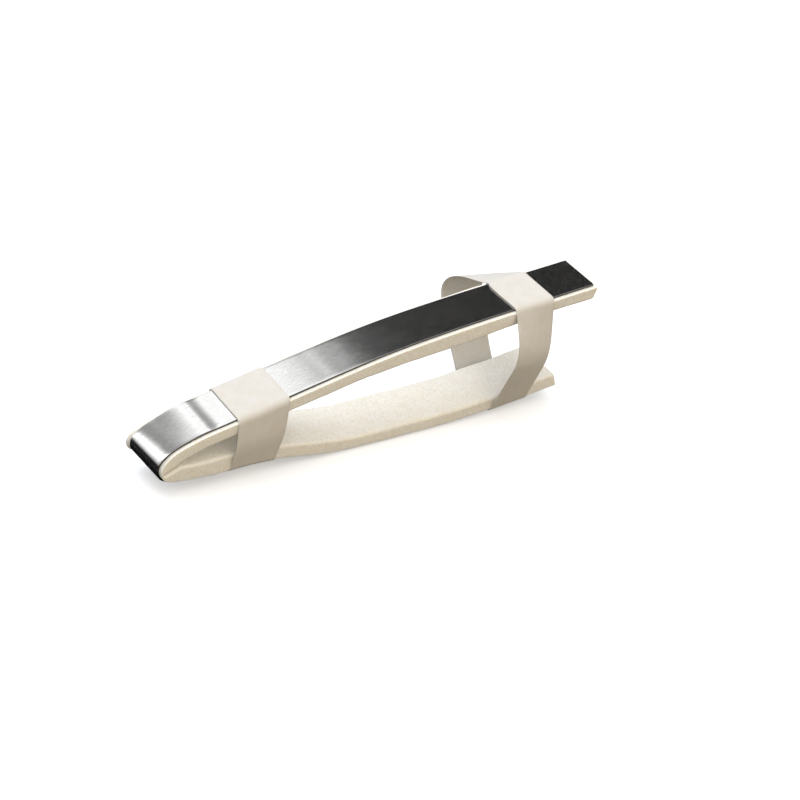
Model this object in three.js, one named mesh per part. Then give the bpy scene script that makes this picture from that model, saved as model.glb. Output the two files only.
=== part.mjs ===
// Finger splint: a padded aluminium strip bent in a long hairpin round one fingertip.
// One leg lies on the back of the finger and hand, the other under the palm, and two
// bands of fabric tape hold the legs: one round the finger, one round the wrist.
//
// Millimetres and degrees. +X runs from the fingertip to the wrist, +Y across the hand
// and +Z up. The origin is the middle of the flat stretch that the splint rests on.
import * as THREE from 'three';

// Driving dimensions of the padded strip
const stripWidth = 22;
const stripThickness = 1;
const stripEdgeEase = 0.2;
const palmLength = 212;
const backLength = 231.5;
const noseRadius = 7;
const noseTurn = 106.8;
const foamWidth = 25.8;
const foamThickness = 7;
const foamEdgeRadius = 1.8;
const foamOverhang = 1.5;
const creaseDepth = 3.2;
const creaseGap = 0.5;

// Driving dimensions of the tape bands
const tapeThickness = 1;
const fingerTapeWidth = 25.4;
const wristTapeWidth = 22;
const bandCornerRadius = 2.8;
const fingerBulge = 1.6;
const fingerOvalHeight = 14;
const wristNearBulge = 8.4;
const wristNearOvalHeight = 43;
const wristFarBulge = 27.2;
const wristFarOvalHeight = 36.5;
const lapLength = 22;
const lapEdge = 0.2;
const lapPlace = 0.8;

// Clearance that neighbouring pieces keep, and how finely curves are cut into facets
const clearance = 0.3;
const stationStep = 8;
const turnStep = 7;
const bandFacets = 40;
const bandFacetLength = 9;
const bandColumns = 4;

// Bends of the palm leg from the wrist end to the fingertip. The length is a share of
// palmLength, and a positive turn curls the leg towards the hand.
const palmBends = [
  { name: 'wrist end', length: 0.067, turn: 1 },
  { name: 'wrist', length: 0.107, turn: 1 },
  { name: 'heel of the hand', length: 0.201, turn: 6 },
  { name: 'rest', length: 0.156, turn: 0 },
  { name: 'knuckle', length: 0.169, turn: 11.5 },
  { name: 'under the band', length: 0.159, turn: -16 },
  { name: 'finger pad', length: 0.09, turn: 9 },
  { name: 'fingertip', length: 0.051, turn: 10.5 },
];

// Bends of the back leg from the fingertip to the wrist end, as shares of backLength
const backBends = [
  { name: 'over the tip', length: 0.035, turn: 29 },
  { name: 'nail', length: 0.078, turn: 17 },
  { name: 'over the band', length: 0.156, turn: -1.5 },
  { name: 'knuckle', length: 0.156, turn: 1 },
  { name: 'back of the hand', length: 0.167, turn: 5 },
  { name: 'wrist', length: 0.2, turn: 2 },
  { name: 'wrist end', length: 0.208, turn: 0 },
];

// How full the foam stands along each leg: the place is a share of the leg measured
// from the fingertip, and the fullness is a share of foamThickness.
const backFoam = [
  { place: 0, fullness: 0.93 },
  { place: 0.12, fullness: 0.88 },
  { place: 0.27, fullness: 0.88 },
  { place: 0.41, fullness: 0.93 },
  { place: 0.5, fullness: 1.06 },
  { place: 0.62, fullness: 1.17 },
  { place: 0.7, fullness: 1.16 },
  { place: 0.79, fullness: 1.05 },
  { place: 0.88, fullness: 0.88 },
  { place: 1, fullness: 0.94 },
];
const palmFoam = [
  { place: 0, fullness: 1.08 },
  { place: 0.12, fullness: 1.2 },
  { place: 0.25, fullness: 0.98 },
  { place: 0.36, fullness: 1 },
  { place: 0.46, fullness: 0.87 },
  { place: 0.7, fullness: 0.94 },
  { place: 0.86, fullness: 0.98 },
  { place: 1, fullness: 1.08 },
];

// Where each band crosses the legs, as shares of the leg from its fingertip end, how
// much of its width is left under the palm leg. Each side follows its own half of an oval
// between the legs: how far it stands out from the foam, the share of that at the arm's
// edge of the tape, its height, and how far down its middle lies at the tape's two edges.
const bands = {
  finger: {
    backPlace: 0.22,
    palmPlace: 0.193,
    width: fingerTapeWidth,
    palmShare: 0.9,
    near: { bulge: fingerBulge, armShare: 1, height: fingerOvalHeight, drops: [0.5, 0.5] },
    far: { bulge: fingerBulge, armShare: 1, height: fingerOvalHeight, drops: [0.5, 0.5] },
  },
  wrist: {
    backPlace: 0.845,
    palmPlace: 0.87,
    width: wristTapeWidth,
    palmShare: 0.97,
    near: { bulge: wristNearBulge, armShare: 0.67, height: wristNearOvalHeight, drops: [0.395, 0.48] },
    far: { bulge: wristFarBulge, armShare: 0.84, height: wristFarOvalHeight, drops: [0.35, 0.4] },
  },
};

const radians = THREE.MathUtils.degToRad;

// The strip's outer face as a chain of arcs and straight stretches
function makeStripPath() {
  const rows = [
    ...palmBends.map((row) => ({ ...row, length: row.length * palmLength })),
    { name: 'nose', length: noseRadius * radians(noseTurn), turn: noseTurn },
    ...backBends.map((row) => ({ ...row, length: row.length * backLength })),
  ];
  const restRow = rows.findIndex((row) => row.name === 'rest');
  const turnBeforeRest = rows.slice(0, restRow).reduce((sum, row) => sum + row.turn, 0);
  let heading = 180 + turnBeforeRest;
  let start = new THREE.Vector2(0, 0);
  let run = 0;
  for (const row of rows) {
    Object.assign(row, { heading, start, run });
    start = pointOnRow(row, row.length);
    heading -= row.turn;
    run += row.length;
  }
  const rest = rows[restRow];
  const origin = pointOnRow(rest, rest.length / 2);
  for (const row of rows) {
    row.start = row.start.clone().sub(origin);
  }
  const nose = rows.find((row) => row.name === 'nose');
  return { rows, length: run, noseStart: nose.run, noseEnd: nose.run + nose.length };
}

// A point on one bend, at a distance from its start; past its ends it runs on straight
function pointOnRow(row, distance) {
  const inside = THREE.MathUtils.clamp(distance, 0, row.length);
  const turned = row.turn * (inside / row.length);
  const middle = radians(row.heading - turned / 2);
  const half = radians(turned / 2);
  const chord = Math.abs(half) > 1e-9 ? inside * (Math.sin(half) / half) : inside;
  const point = new THREE.Vector2(Math.cos(middle), Math.sin(middle)).multiplyScalar(chord);
  const beyond = radians(row.heading - turned);
  const onward = new THREE.Vector2(Math.cos(beyond), Math.sin(beyond));
  return point.add(row.start).addScaledVector(onward, distance - inside);
}

// A station on the strip: the outer face's point and the direction towards the hand
function stationAt(path, run) {
  const row = path.rows.findLast((candidate) => candidate.run <= run) ?? path.rows[0];
  const distance = run - row.run;
  const turned = row.turn * THREE.MathUtils.clamp(distance / row.length, 0, 1);
  const heading = radians(row.heading - turned);
  return {
    point: pointOnRow(row, distance),
    inward: new THREE.Vector2(Math.sin(heading), -Math.cos(heading)),
  };
}

// Places along the whole strip where a section is set: close together in the bends
function stationRuns(path) {
  const runs = [];
  for (const row of path.rows) {
    const steps = Math.ceil(Math.max(row.length / stationStep, Math.abs(row.turn) / turnStep));
    for (let step = 0; step < steps; step += 1) {
      runs.push(row.run + (row.length * step) / steps);
    }
  }
  runs.push(path.length);
  return runs;
}

// A smooth curve through the rows of a table that give a fullness for each place
function fullnessAt(rows, place) {
  const last = rows.length - 1;
  const next = rows.findIndex((row) => row.place > place);
  if (next <= 0) {
    return next === 0 ? rows[0].fullness : rows[last].fullness;
  }
  const from = rows[next - 1];
  const to = rows[next];
  const share = THREE.MathUtils.smoothstep(place, from.place, to.place);
  return THREE.MathUtils.lerp(from.fullness, to.fullness, share);
}

// The foam's thickness where it isn't pinched at the nose
function foamThicknessAt(path, run) {
  if (run < path.noseStart) {
    return foamThickness * fullnessAt(palmFoam, (path.noseStart - run) / palmLength);
  }
  if (run > path.noseEnd) {
    return foamThickness * fullnessAt(backFoam, (run - path.noseEnd) / backLength);
  }
  const share = (run - path.noseStart) / (path.noseEnd - path.noseStart);
  return foamThickness * THREE.MathUtils.lerp(palmFoam[0].fullness, backFoam[0].fullness, share);
}

// The foam's face on the metal and its free face towards the hand, at one station
function foamFaces(path, run) {
  const station = stationAt(path, run);
  const seat = station.point.clone().addScaledVector(station.inward, stripThickness + clearance);
  const skin = seat.clone().addScaledVector(station.inward, foamThicknessAt(path, run));
  return { seat, skin };
}

// The crease where the foam of both legs is squeezed together inside the nose: its
// bottom, and the distance from the nose at which the two skins part.
function makeCrease(path) {
  const middle = (path.noseStart + path.noseEnd) / 2;
  const nose = stationAt(path, middle);
  const bottom = nose.point.clone().addScaledVector(nose.inward, stripThickness + clearance + creaseDepth);
  let reach = (path.noseEnd - path.noseStart) / 2;
  let gap = 0;
  while (gap < creaseGap && reach < backLength / 2) {
    reach += creaseGap / 2;
    const palm = foamFaces(path, middle - reach);
    const back = foamFaces(path, middle + reach);
    const across = back.seat.clone().sub(palm.seat).normalize();
    gap = back.skin.clone().sub(palm.skin).dot(across);
  }
  const palmLip = foamFaces(path, middle - reach).skin;
  const backLip = foamFaces(path, middle + reach).skin;
  const across = backLip.clone().sub(palmLip).normalize().multiplyScalar(creaseGap / 2);
  return { middle, bottom, reach, palmLip, backLip, across };
}

// A closed body through rings of equal length, capped at both ends unless it closes
function loft(rings, closed = false) {
  const count = rings[0].length;
  const positions = rings.flat().flatMap((point) => [point.x, point.y, point.z]);
  const index = [];
  const spans = closed ? rings.length : rings.length - 1;
  for (let ring = 0; ring < spans; ring += 1) {
    const here = ring * count;
    const there = ((ring + 1) % rings.length) * count;
    for (let corner = 0; corner < count; corner += 1) {
      const next = (corner + 1) % count;
      index.push(here + corner, here + next, there + next);
      index.push(here + corner, there + next, there + corner);
    }
  }
  if (!closed) {
    const end = (rings.length - 1) * count;
    for (let corner = 1; corner < count - 1; corner += 1) {
      index.push(0, corner + 1, corner);
      index.push(end, end + corner, end + corner + 1);
    }
  }
  if (enclosedVolume(positions, index) < 0) {
    index.reverse();
  }
  const geometry = new THREE.BufferGeometry();
  geometry.setAttribute('position', new THREE.Float32BufferAttribute(positions, 3));
  geometry.setIndex(index);
  geometry.computeVertexNormals();
  return geometry;
}

function enclosedVolume(positions, index) {
  const corner = (number) => new THREE.Vector3().fromArray(positions, index[number] * 3);
  let volume = 0;
  for (let first = 0; first < index.length; first += 3) {
    volume += corner(first).dot(corner(first + 1).cross(corner(first + 2))) / 6;
  }
  return volume;
}

// A rectangular section across the strip with eased corners, between two face points
function roundedSection(outer, inner, width, radius, cornerSteps) {
  const depth = outer.distanceTo(inner);
  const ease = Math.min(radius, depth * 0.4, width * 0.4);
  const down = inner.clone().sub(outer).divideScalar(depth);
  const centres = [
    { y: width / 2 - ease, depth: depth - ease, from: 0 },
    { y: -width / 2 + ease, depth: depth - ease, from: 90 },
    { y: -width / 2 + ease, depth: ease, from: 180 },
    { y: width / 2 - ease, depth: ease, from: 270 },
  ];
  return centres.flatMap((centre) => Array.from({ length: cornerSteps + 1 }, (_, step) => {
    const angle = radians(centre.from + (90 * step) / cornerSteps);
    const deep = centre.depth + ease * Math.sin(angle);
    const point = outer.clone().addScaledVector(down, deep);
    return new THREE.Vector3(point.x, centre.y + ease * Math.cos(angle), point.y);
  }));
}

function makeStrip(path) {
  const rings = stationRuns(path).map((run) => {
    const { point, inward } = stationAt(path, run);
    const inner = point.clone().addScaledVector(inward, stripThickness);
    return roundedSection(point, inner, stripWidth, stripEdgeEase, 1);
  });
  return loft(rings);
}

function makeFoam(path) {
  const crease = makeCrease(path);
  const runs = [-foamOverhang, ...stationRuns(path), path.length + foamOverhang];
  const mouths = [crease.middle - crease.reach, crease.middle + crease.reach];
  const placed = [...runs, ...mouths].sort((a, b) => a - b);
  const rings = placed.map((run) => {
    const { seat, skin } = foamFaces(path, run);
    const inside = (run - crease.middle) / crease.reach;
    if (Math.abs(inside) < 1) {
      const lip = inside < 0 ? crease.palmLip : crease.backLip;
      const foot = crease.bottom.clone().addScaledVector(crease.across, Math.sin(inside * Math.PI / 2));
      skin.copy(foot).lerp(lip, inside * inside);
    }
    return roundedSection(seat, skin, foamWidth, foamEdgeRadius, 2);
  });
  return loft(rings);
}

// The taut loop that a tape takes round the padded legs and what lies between them:
// the hull of a rounded rectangle and an oval that reaches further on the far side.
// Each point is where the hull's outward normal has one direction.
function hullPoint(half, height, band, armward, angle) {
  const normal = new THREE.Vector2(Math.cos(angle), Math.sin(angle));
  const radius = bandCornerRadius;
  const corner = new THREE.Vector2(
    Math.sign(normal.x) * (half - radius),
    normal.y > 0 ? -radius : radius - height,
  ).addScaledVector(normal, radius);
  const side = normal.x > 0 ? band.far : band.near;
  const reach = half + side.bulge * THREE.MathUtils.lerp(1, side.armShare, armward);
  const rise = side.height / 2;
  const drop = THREE.MathUtils.lerp(side.drops[0], side.drops[1], armward);
  const size = Math.hypot(reach * normal.x, rise * normal.y);
  const oval = new THREE.Vector2(
    (reach * reach * normal.x) / size,
    (rise * rise * normal.y) / size - height * drop,
  );
  return { point: oval.dot(normal) > corner.dot(normal) ? oval : corner, normal };
}

// One tape band: its loop is worked out for each column across the tape's width
function makeBand(path, band) {
  const half = foamWidth / 2 + clearance;
  const columns = Array.from({ length: bandColumns + 1 }, (_, column) => {
    const across = (column / bandColumns - 0.5) * band.width;
    const back = stationAt(path, path.noseEnd + band.backPlace * backLength + across);
    const palmRun = path.noseStart - band.palmPlace * palmLength - across * band.palmShare;
    const palm = stationAt(path, palmRun);
    const top = back.point.clone().addScaledVector(back.inward, -clearance);
    const bottom = palm.point.clone().addScaledVector(palm.inward, -clearance);
    const height = top.distanceTo(bottom);
    const up = top.clone().sub(bottom).divideScalar(height);
    const loop = Array.from({ length: bandFacets }, (_unused, facet) => (
      hullPoint(half, height, band, column / bandColumns, (2 * Math.PI * (facet + 0.5)) / bandFacets)
    ));
    return { top, up, loop };
  });
  const samples = loopSamples(columns[bandColumns / 2].loop);
  const rings = samples.map((sample) => {
    const faces = [0, tapeThickness * sample.layers].map((lift) => columns.map((column) => {
      const from = column.loop[sample.facet];
      const to = column.loop[(sample.facet + 1) % bandFacets];
      const flat = from.point.clone().lerp(to.point, sample.share);
      flat.addScaledVector(from.normal.clone().lerp(to.normal, sample.share).normalize(), lift);
      const point = column.top.clone().addScaledVector(column.up, flat.y);
      return new THREE.Vector3(point.x, flat.x, point.y);
    }));
    return [...faces[0], ...faces[1].reverse()];
  });
  return loft(rings, true);
}

// Where a loop is sampled: at each hull point and along its straight stretches. Its
// ends lap on the far side under the widest point, and there the tape has two layers.
function loopSamples(loop) {
  const samples = loop.flatMap((from, facet) => {
    const facetLength = from.point.distanceTo(loop[(facet + 1) % loop.length].point);
    const steps = Math.max(1, Math.ceil(facetLength / bandFacetLength));
    return Array.from({ length: steps }, (_, step) => (
      { facet, share: step / steps, length: facetLength / steps, facetLength, layers: 1 }
    ));
  });
  const lapStart = samples.findIndex((sample) => sample.facet >= loop.length * lapPlace);
  let lapEnd = lapStart;
  let lapped = 0;
  while (lapped < lapLength && lapEnd < samples.length - 1) {
    lapped += samples[lapEnd].length;
    lapEnd += 1;
  }
  const lap = samples.slice(lapStart, lapEnd).map((sample) => ({ ...sample, layers: 2 }));
  const first = lap[0];
  const last = lap.at(-1);
  const end = { ...last, share: last.share + (last.length - lapEdge) / last.facetLength };
  first.share += lapEdge / first.facetLength;
  return [...samples.slice(0, lapStart + 1), ...lap, end, ...samples.slice(lapEnd)];
}

// Materials, one for each kind of stuff
const aluminium = new THREE.MeshStandardMaterial({ color: 0xb9babb, roughness: 0.35, metalness: 1 });
const foam = new THREE.MeshStandardMaterial({ color: 0xeee6d2, roughness: 0.95, metalness: 0 });
const tape = new THREE.MeshStandardMaterial({ color: 0xd2c8ba, roughness: 0.9, metalness: 0 });

function named(name, geometry, material) {
  const mesh = new THREE.Mesh(geometry, material);
  mesh.name = name;
  return mesh;
}

const stripPath = makeStripPath();
const splint = new THREE.Group();
splint.add(named('aluminium_strip', makeStrip(stripPath), aluminium));
splint.add(named('foam_pad', makeFoam(stripPath), foam));
splint.add(named('finger_strap', makeBand(stripPath, bands.finger), tape));
splint.add(named('wrist_strap', makeBand(stripPath, bands.wrist), tape));

export default splint;
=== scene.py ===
"""Finger splint: the finish of a padded aluminium strip that is bent in a hairpin round one
fingertip and held by two bands of cloth tape.

Metres. +X runs from the fingertip to the wrist, +Y across the hand and +Z up. The origin is
the middle of the flat stretch that the splint rests on. Directions in the strip's side view
are pairs (x, z), and angles there turn from +X towards +Z.
"""
import math
from typing import NamedTuple

import bpy
import numpy as np
from mathutils import Euler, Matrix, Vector, noise


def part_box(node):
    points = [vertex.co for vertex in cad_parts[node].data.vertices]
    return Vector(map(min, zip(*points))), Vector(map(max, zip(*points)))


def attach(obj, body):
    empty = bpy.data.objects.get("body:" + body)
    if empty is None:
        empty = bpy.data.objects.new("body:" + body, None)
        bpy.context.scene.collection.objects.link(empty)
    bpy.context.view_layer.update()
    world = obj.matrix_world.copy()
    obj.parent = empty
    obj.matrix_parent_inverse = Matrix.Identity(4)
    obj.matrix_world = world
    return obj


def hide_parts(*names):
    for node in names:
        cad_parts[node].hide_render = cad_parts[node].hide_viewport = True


bl_info = {
    "name": "Finger splint",
    "version": (1, 0, 0),
    "blender": (4, 5, 0),
    "location": "View3D > Sidebar > Splint",
    "description": "Makes a padded, bent aluminium finger splint with two tape bands",
    "category": "Add Mesh",
}

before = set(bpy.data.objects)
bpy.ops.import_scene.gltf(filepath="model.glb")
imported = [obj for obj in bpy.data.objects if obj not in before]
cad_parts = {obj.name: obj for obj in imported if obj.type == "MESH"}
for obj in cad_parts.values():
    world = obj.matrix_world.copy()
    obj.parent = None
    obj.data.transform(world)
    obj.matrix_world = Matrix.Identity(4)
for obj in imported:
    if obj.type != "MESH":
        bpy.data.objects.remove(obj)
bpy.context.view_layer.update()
strip_low, strip_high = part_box("aluminium_strip")
foam_low, foam_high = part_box("foam_pad")

MM = 0.001
PLACE_MAP = "across_along"

# Bends of the strip as (share of its leg's length, turn in degrees). A positive turn curls
# the strip towards the hand. The turns were fitted by least squares to the strip's edges in
# the reference photograph, then rounded.
PALM_BENDS = {
    "wrist end": (0.067, 1),
    "wrist": (0.107, 1),
    "heel of the hand": (0.201, 6),
    "rest": (0.156, 0),
    "knuckle": (0.169, 11.5),
    "under the band": (0.159, -16),
    "finger pad": (0.09, 9),
    "fingertip": (0.051, 10.5),
}
BACK_BENDS = {
    "over the tip": (0.035, 29),
    "nail": (0.078, 17),
    "over the band": (0.156, -1.5),
    "knuckle": (0.156, 1),
    "back of the hand": (0.167, 5),
    "wrist": (0.2, 2),
    "wrist end": (0.208, 0),
}

# How full the foam stands: (place as a share of the leg from the fingertip, share of the
# foam's thickness)
BACK_FULLNESS = [
    (0, 0.93), (0.12, 0.88), (0.27, 0.88), (0.41, 0.93), (0.5, 1.06),
    (0.62, 1.17), (0.7, 1.16), (0.79, 1.05), (0.88, 0.88), (1, 0.94),
]
PALM_FULLNESS = [
    (0, 1.08), (0.12, 1.2), (0.25, 0.98), (0.36, 1),
    (0.46, 0.87), (0.7, 0.94), (0.86, 0.98), (1, 1.08),
]

# Marks left by bending the metal by hand: (distance from the nose along the back leg, how
# far the mark reaches, how much the face tips there in degrees)
BEND_MARKS = [(26.8 * MM, 6 * MM, -2.8), (86 * MM, 4 * MM, 0.3)]

# How the fingertip's end was pressed out of the plain bend: (distance from the nose's end,
# reach, how far the middle moves out, how much more the far edge moves than the middle)
NOSE_SWELLS = [
    (-4 * MM, 8 * MM, 1.25 * MM, 0),
    (-5 * MM, 6 * MM, 0, 0.65 * MM),
    (9 * MM, 6 * MM, 0, -0.3 * MM),
]

# Creases along the near side of the wrist's tape: (place across the tape from -0.5 to 0.5,
# how far it drifts across over CREASE_DRIFT of height, height of the crease)
CREASE_LINES = [
    (0.06, 0.03, 0.18 * MM),
    (0.16, -0.02, -0.14 * MM),
    (0.3, 0.02, 0.1 * MM),
    (-0.12, 0.05, -0.09 * MM),
]
CREASE_WIDTH = 0.035
CREASE_DRIFT = 20 * MM
CREASE_START = 40 * MM
CREASE_MIDDLE = 42 * MM
CREASE_REACH = 13 * MM

# Where the wrist's tape is caught at the foam's far corner: only on top, at one distance
# across the hand, and only near the tape's edge towards the fingers
CAUGHT_TOP = 50 * MM
CAUGHT_EASE = 4 * MM
CAUGHT_PLACE = 11 * MM
CAUGHT_WIDTH = 1.6 * MM
CAUGHT_DEPTH = 0.9 * MM
CAUGHT_COLUMN = -0.33
CAUGHT_SLOPE = 6

# Unevenness as (height, size of a feature, seed of the noise)
FOAM_LUMPS = (0.22 * MM, 14 * MM, 1)
FOAM_PITS = (0.07 * MM, 3 * MM, 2)
TAPE_WAVES = (0.32 * MM, 16 * MM, 3)
TAPE_WRINKLES = (0.15 * MM, 7 * MM, 4)
TAPE_DIMPLES = (0.05 * MM, 4 * MM, 5)
WRINKLE_STRETCH = np.array([1, 0.35, 0.35])
SEED_SHIFT = 7.31

# Spacing of the meshes' rings and columns
STRIP_STEP = 1.1 * MM
FOAM_STEP = 1.2 * MM
TAPE_STEP = 0.8 * MM
TAPE_COLUMN = 0.7 * MM
LOOP_STEPS = 720
CREASE_SEARCH = 0.1 * MM

# Rounded ends: extra rings of the metal as shares of its easing, rings and easing of the
# foam, and the largest corner radius as a share of a section's depth
METAL_END_RINGS = np.array([0, 0.1, 0.3, 0.6, 1])
FOAM_END_RINGS = np.array([0.08, 0.25]) * MM
FOAM_END_EASE = 0.4 * MM
LARGEST_CORNER = 0.4

# How the foam's margins swell round the nose and how its cut ends lean: shares of the
# margin's width and of the thickness, reaches along the strip and the power of the lean
MARGIN_EASE = 0.6
FLARE_DEPTH = 0.75
NOSE_REACH = 7 * MM
SLANT_REACH = 7 * MM
SLANT_POWER = 1.3

# The foam's skin among the points of a section: its middle and reach as shares of half of
# them. Normals shorter than the last value aren't stretched to full length.
SKIN_MIDDLE = 0.75
SKIN_REACH = 0.5
SHORTEST_NORMAL = 1e-9

# How the tape is laid: where it starts and laps, how the lap climbs, and how its turns are
# rounded where it spans free
LAP_ANGLE = math.radians(292.5)
LAP_CLIMB = 4 * MM
LAP_GAP = 0.08 * MM
TURN_SOFTENING = 8 * MM
FIRM_BELOW = 0.2
FIRM_TO_FREE = 0.5

# Points round the tape's edge: (share of the thickness, how far it is set in)
TAPE_RIM = [(0.12, 0.03 * MM), (0.5, -0.02 * MM), (0.88, 0.03 * MM)]

# The studio's light: the lamp's size and place in metres, the strength of the tent that the
# metal mirrors, and the colours of the sky on the camera's side, opposite it and below
KEY_WIDTH = 0.9
KEY_DEPTH = 0.7
KEY_PLACE = (-0.25, 0.55, 1.05)
TENT_STRENGTH = 2.1
WARM_SKY = (1.28, 1.10, 0.82, 1)
COOL_SKY = (0.98, 1.02, 1.08, 1)
DIM_GROUND = (0.05, 0.04, 0.025, 1)
WHITE = (1, 1, 1, 1)

# The floor's mottling and its gap under the splint, and the camera's sensor in millimetres
# and range of sight
FLOOR_MOTTLE = 0.985
FLOOR_GAP = 0.05 * MM
SENSOR_WIDTH = 36
NEAREST_SEEN = 0.05
FARTHEST_SEEN = 50

# Brightness of the light tent that the metal mirrors, by the mirrored direction's share
# along X from -1 to 1. The steps were fitted to tones measured along the metal in the
# reference photograph.
TENT_PANELS = [
    (-0.9, 0.27), (-0.77, 0.35), (-0.745, 1), (-0.59, 1), (-0.55, 0.34), (-0.51, 0.19),
    (-0.45, 0.17), (-0.26, 0.165), (-0.18, 0.2), (-0.11, 0.27), (-0.03, 0.52), (0.045, 0.69),
    (0.1, 0.63), (0.13, 0.55), (0.16, 0.67), (0.19, 0.72), (0.204, 0.57), (0.214, 0.2),
    (0.227, 0.33), (0.238, 0.26), (0.246, 0.06), (0.278, 0.04), (0.304, 0.035), (0.35, 0.016),
    (0.45, 0.008), (0.52, 0.003),
]


def length(name, description, default):
    """A length that the user can change."""
    return bpy.props.FloatProperty(
        name=name, description=description, default=default, min=0, precision=5, unit="LENGTH")


def share(name, description, default):
    """A share from nothing to twice the whole."""
    return bpy.props.FloatProperty(
        name=name, description=description, default=default, min=0, max=2, subtype="FACTOR")


def colour(name, description, default):
    """A colour that the user can change."""
    return bpy.props.FloatVectorProperty(
        name=name, description=description, default=default, size=3, min=0, max=1, subtype="COLOR")


class StripSizes(bpy.types.PropertyGroup):
    """Sizes of the aluminium strip"""
    width: length("Width", "Width of the metal", strip_high.y - strip_low.y)
    thickness: length("Thickness", "Thickness of the metal", 1 * MM)
    palm_length: length("Palm leg", "Length of the leg under the palm", 212 * MM)
    back_length: length("Back leg", "Length of the leg on the back of the hand", 231.5 * MM)
    nose_radius: length("Nose radius", "Radius of the bend round the fingertip", 7 * MM)
    nose_turn: bpy.props.FloatProperty(
        name="Nose turn", description="How far the bend round the fingertip turns",
        default=math.radians(106.8), subtype="ANGLE")
    outer_ease: length("Outer edge", "Radius of the sheared edges on the outer face", 0.24 * MM)
    inner_ease: length("Inner edge", "Radius of the sheared edges on the foam's side", 0.1 * MM)


class FoamSizes(bpy.types.PropertyGroup):
    """Sizes of the foam pad"""
    width: length("Width", "Width of the foam", foam_high.y - foam_low.y)
    thickness: length("Thickness", "Thickness of the foam where it is free", 7 * MM)
    overhang: length("Overhang", "How far the foam passes the metal's ends", 1.5 * MM)
    glue_gap: length("Glue", "Gap between the metal and the foam", 0.04 * MM)
    outer_radius: length("Margin radius", "Radius of the foam's edge beside the metal", 0.3 * MM)
    inner_radius: length("Skin radius", "Radius of the foam's edge beside the hand", 1.3 * MM)
    end_slant: length("End slant", "How far the cut ends lean back at the skin", 2 * MM)
    crease_depth: length("Crease", "Foam left under the crease inside the nose", 1.9 * MM)
    crease_gap: length("Crease gap", "Gap between the two skins in the crease", 0.7 * MM)
    far_flare: length("Far flare", "How far the far margin stands out round the nose", 1.7 * MM)
    side_bulge: length("Side bulge", "How far the squeezed foam stands out sideways", 0.4 * MM)


class StrapSizes(bpy.types.PropertyGroup):
    """Sizes of the two tape bands"""
    thickness: length("Thickness", "Thickness of the tape", 0.5 * MM)
    seat_gap: length("Seat", "Gap between the tape and what it lies on", 0.15 * MM)
    corner_radius: length("Corner radius", "Radius where the tape turns over an edge", 2.8 * MM)
    lap_length: length("Lap", "How far the tape's end lies over its start", 22 * MM)
    finger_width: length("Finger tape", "Width of the tape round the finger", 25.4 * MM)
    finger_bulge: length("Finger bulge", "How far that band stands off the foam", 1.6 * MM)
    finger_oval: length("Finger oval", "Height of what fills that band", 26 * MM)
    wrist_width: length("Wrist tape", "Width of the tape round the wrist", 22 * MM)
    wrist_near_bulge: length("Near bulge", "How far that band stands out near", 8.5 * MM)
    wrist_near_oval: length("Near oval", "Height of its near half's oval", 43 * MM)
    wrist_far_bulge: length("Far bulge", "How far that band stands out far", 27.4 * MM)
    wrist_far_oval: length("Far oval", "Height of its far half's oval", 36.5 * MM)


class Finishes(bpy.types.PropertyGroup):
    """Colours and finishes"""
    metal: colour("Metal", "Brushed aluminium", (0.84, 0.84, 0.835))
    metal_groove: colour("Brushing", "The darker lines of the brushing", (0.64, 0.64, 0.635))
    # Near-black colour of the metal's side faces: painted shade along its edges
    metal_edge_shade: colour("Sheared edge", "The dull edges of the metal", (0.10, 0.098, 0.09))
    metal_roughness: share("Metal roughness", "How soft reflections in the metal are", 0.15)
    foam: colour("Foam", "Cream foam", (0.97, 0.965, 0.94))
    # Darker colour that the pores take as painted shade in the pits
    foam_pore_shade: colour("Foam pores", "The shaded pores of the foam", (0.74, 0.67, 0.54))
    tape: colour("Tape", "Cloth tape", (0.735, 0.735, 0.735))
    # Darker colour that the gaps between threads take as painted shade; random nap and mottling lean
    # towards it too
    tape_shade: colour("Tape shade", "Between the threads of the tape", (0.63, 0.585, 0.515))
    floor: colour("Floor", "The pale floor", (0.88, 0.90, 0.94))


class StageSettings(bpy.types.PropertyGroup):
    """The camera, the lights and the floor"""
    camera_place: bpy.props.FloatVectorProperty(
        name="Camera", description="Where the camera stands",
        default=(-0.4542, -0.5197, 0.4864), size=3, subtype="TRANSLATION", unit="LENGTH")
    camera_turn: bpy.props.FloatVectorProperty(
        name="Camera turn", description="How the camera is turned",
        default=tuple(math.radians(angle) for angle in (55.051, -10.725, -34.508)),
        size=3, subtype="EULER")
    focal_length: bpy.props.FloatProperty(
        name="Focal length", description="Focal length of the camera in millimetres",
        default=82.3, min=1)
    floor_size: length("Floor", "Side of the square floor", 6)
    key_power: bpy.props.FloatProperty(
        name="Key light", description="Power of the large lamp above the far side",
        default=5, min=0, unit="POWER")


# Shape of the bent strip

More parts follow.
